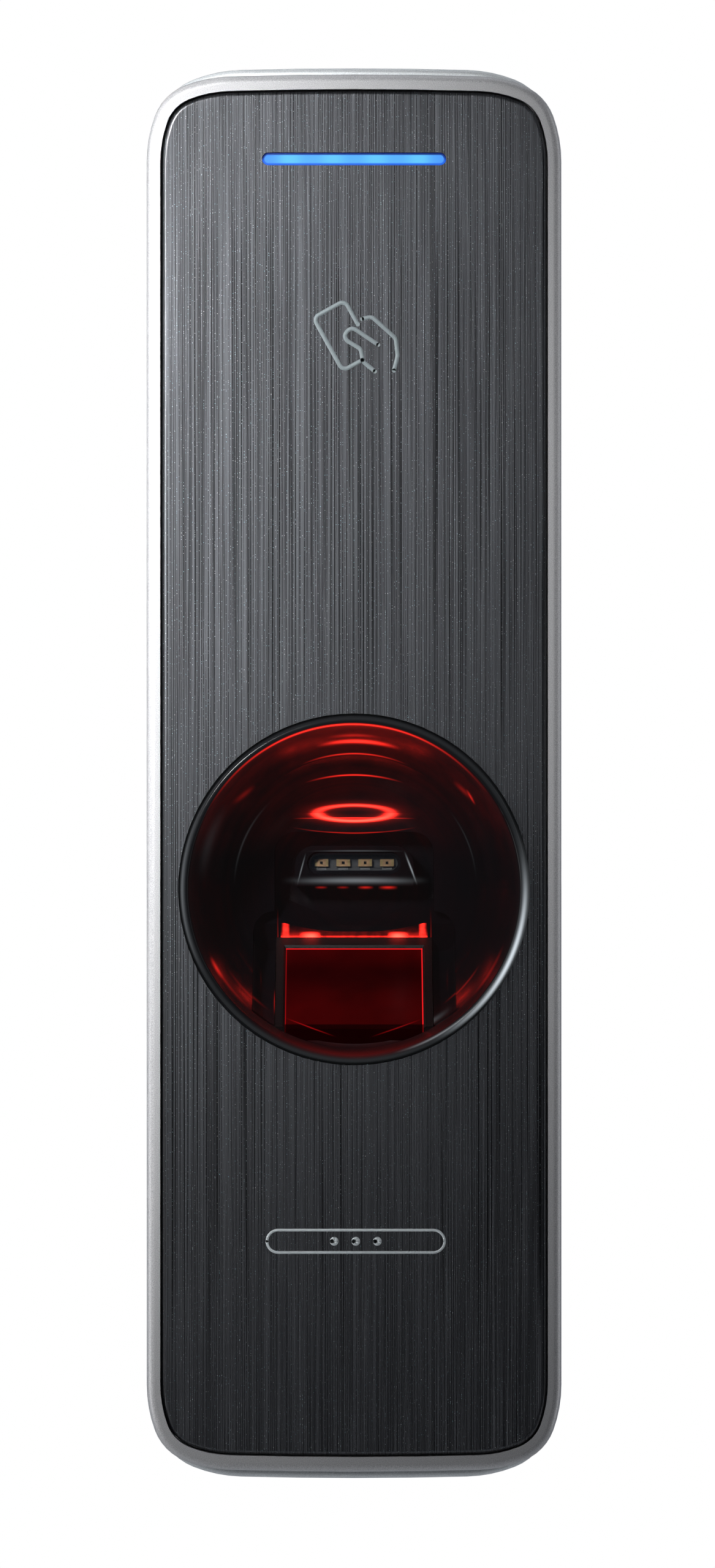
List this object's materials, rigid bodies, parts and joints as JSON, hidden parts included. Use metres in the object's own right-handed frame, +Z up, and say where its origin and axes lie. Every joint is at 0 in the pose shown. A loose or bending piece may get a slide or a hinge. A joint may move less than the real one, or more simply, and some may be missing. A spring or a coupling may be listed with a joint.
{
  "type": "rfid card reader",
  "caption": "Slim wall-mounted RFID card and fingerprint reader with a status light bar, a round finger scoop and a hook-on steel wall bracket.",
  "frame": {"origin": "middle of the wall bracket's wall face, at half the reader's height", "axes": "+Z up along the reader, +X to the right as a user sees it, +Y into the wall; the front faces -Y"},
  "size_m": [0.05, 0.0435, 0.172],
  "materials": {
    "bracket_steel": "brushed stainless sheet",
    "case_paint": "silver metallic powder coat",
    "bezel_paint": "silver metallic lacquer",
    "cover_black": "vertical hairline texture under clear gloss",
    "scoop_black": "polished",
    "seal_black": "matt",
    "tape_black": "matt foam tape",
    "frame_black": "fine textured",
    "prism_glass": "polished, red lit",
    "lens_glass": "coated",
    "window_clear": "polished",
    "guide_blue": "lit light guide",
    "lamp_white": "moulded lamp bodies",
    "lamp_amber": "ceramic lamp bodies",
    "board_green": "solder mask",
    "board_white": "white solder mask",
    "copper": "tinned copper track",
    "ferrite_grey": "sintered sheet",
    "tin_plate": "tin plated",
    "chip_black": "moulded epoxy",
    "relay_blue": "moulded",
    "socket_white": "moulded nylon",
    "can_silver": "drawn can",
    "flex_amber": "polyimide film",
    "screw_steel": "zinc plated",
    "screw_stainless": "passivated stainless",
    "insert_brass": "machined",
    "pin_white": "moulded acetal",
    "label_grey": "blank matt film",
    "foam_grey": "closed cell foam"
  },
  "bodies": {
    "bracket": {"wall_bracket": "bracket_steel"},
    "reader": {"rear_case": "case_paint", "front_bezel": "bezel_paint", "front_cover": "cover_black", "cover_tape": "tape_black", "case_gasket": "seal_black", "finger_scoop": "scoop_black", "scoop_seal": "seal_black", "sensor_frame": "frame_black", "sensor_prism": "prism_glass", "sensor_housing": "frame_black", "sensor_lens": "lens_glass", "sensor_board": "board_green", "sensor_lamps": "lamp_white", "ir_window": "window_clear", "ir_board": "board_white", "ir_lamps": "lamp_amber", "light_guide": "guide_blue", "indicator_lamps": "lamp_white", "antenna_board": "board_green", "antenna_coil": "copper", "antenna_pads": "foam_grey", "ferrite_sheet": "ferrite_grey", "main_board": "board_green", "processor_shield": "tin_plate", "board_chips": "chip_black", "relay": "relay_blue", "buzzer": "chip_black", "capacitors": "can_silver", "board_sockets": "socket_white", "ribbon_cable": "flex_amber", "board_screws": "screw_steel", "case_screws": "screw_steel", "cable_gland": "seal_black", "rating_label": "label_grey", "screw_insert": "insert_brass", "tamper_switch": "chip_black", "tamper_dome": "seal_black", "reset_switch": "chip_black", "reset_dome": "seal_black"},
    "tamper_plunger": {"tamper_plunger": "pin_white"},
    "reset_button": {"reset_button": "pin_white"},
    "lock_screw": {"lock_screw": "screw_stainless"}
  },
  "joints": [
    {"name": "case_lift", "type": "slide", "parent": "bracket", "child": "reader", "axis": [0, 0, 1], "range_m": [0, 0.006]},
    {"name": "lock_screw_travel", "type": "slide", "parent": "reader", "child": "lock_screw", "axis": [0, 0, -1], "range_m": [0, 0.006]},
    {"name": "tamper_press", "type": "slide", "parent": "reader", "child": "tamper_plunger", "axis": [0, -1, 0], "range_m": [0, 0.0008], "stiffness_N_per_m": 600, "deforming": ["tamper_dome"]},
    {"name": "reset_press", "type": "slide", "parent": "reader", "child": "reset_button", "axis": [0, -1, 0], "range_m": [0, 0.0006], "stiffness_N_per_m": 600, "deforming": ["reset_dome"]}
  ],
  "couplings": [
    {"joint": "lock_screw_travel", "follows": "case_lift", "ratio": 1}
  ]
}
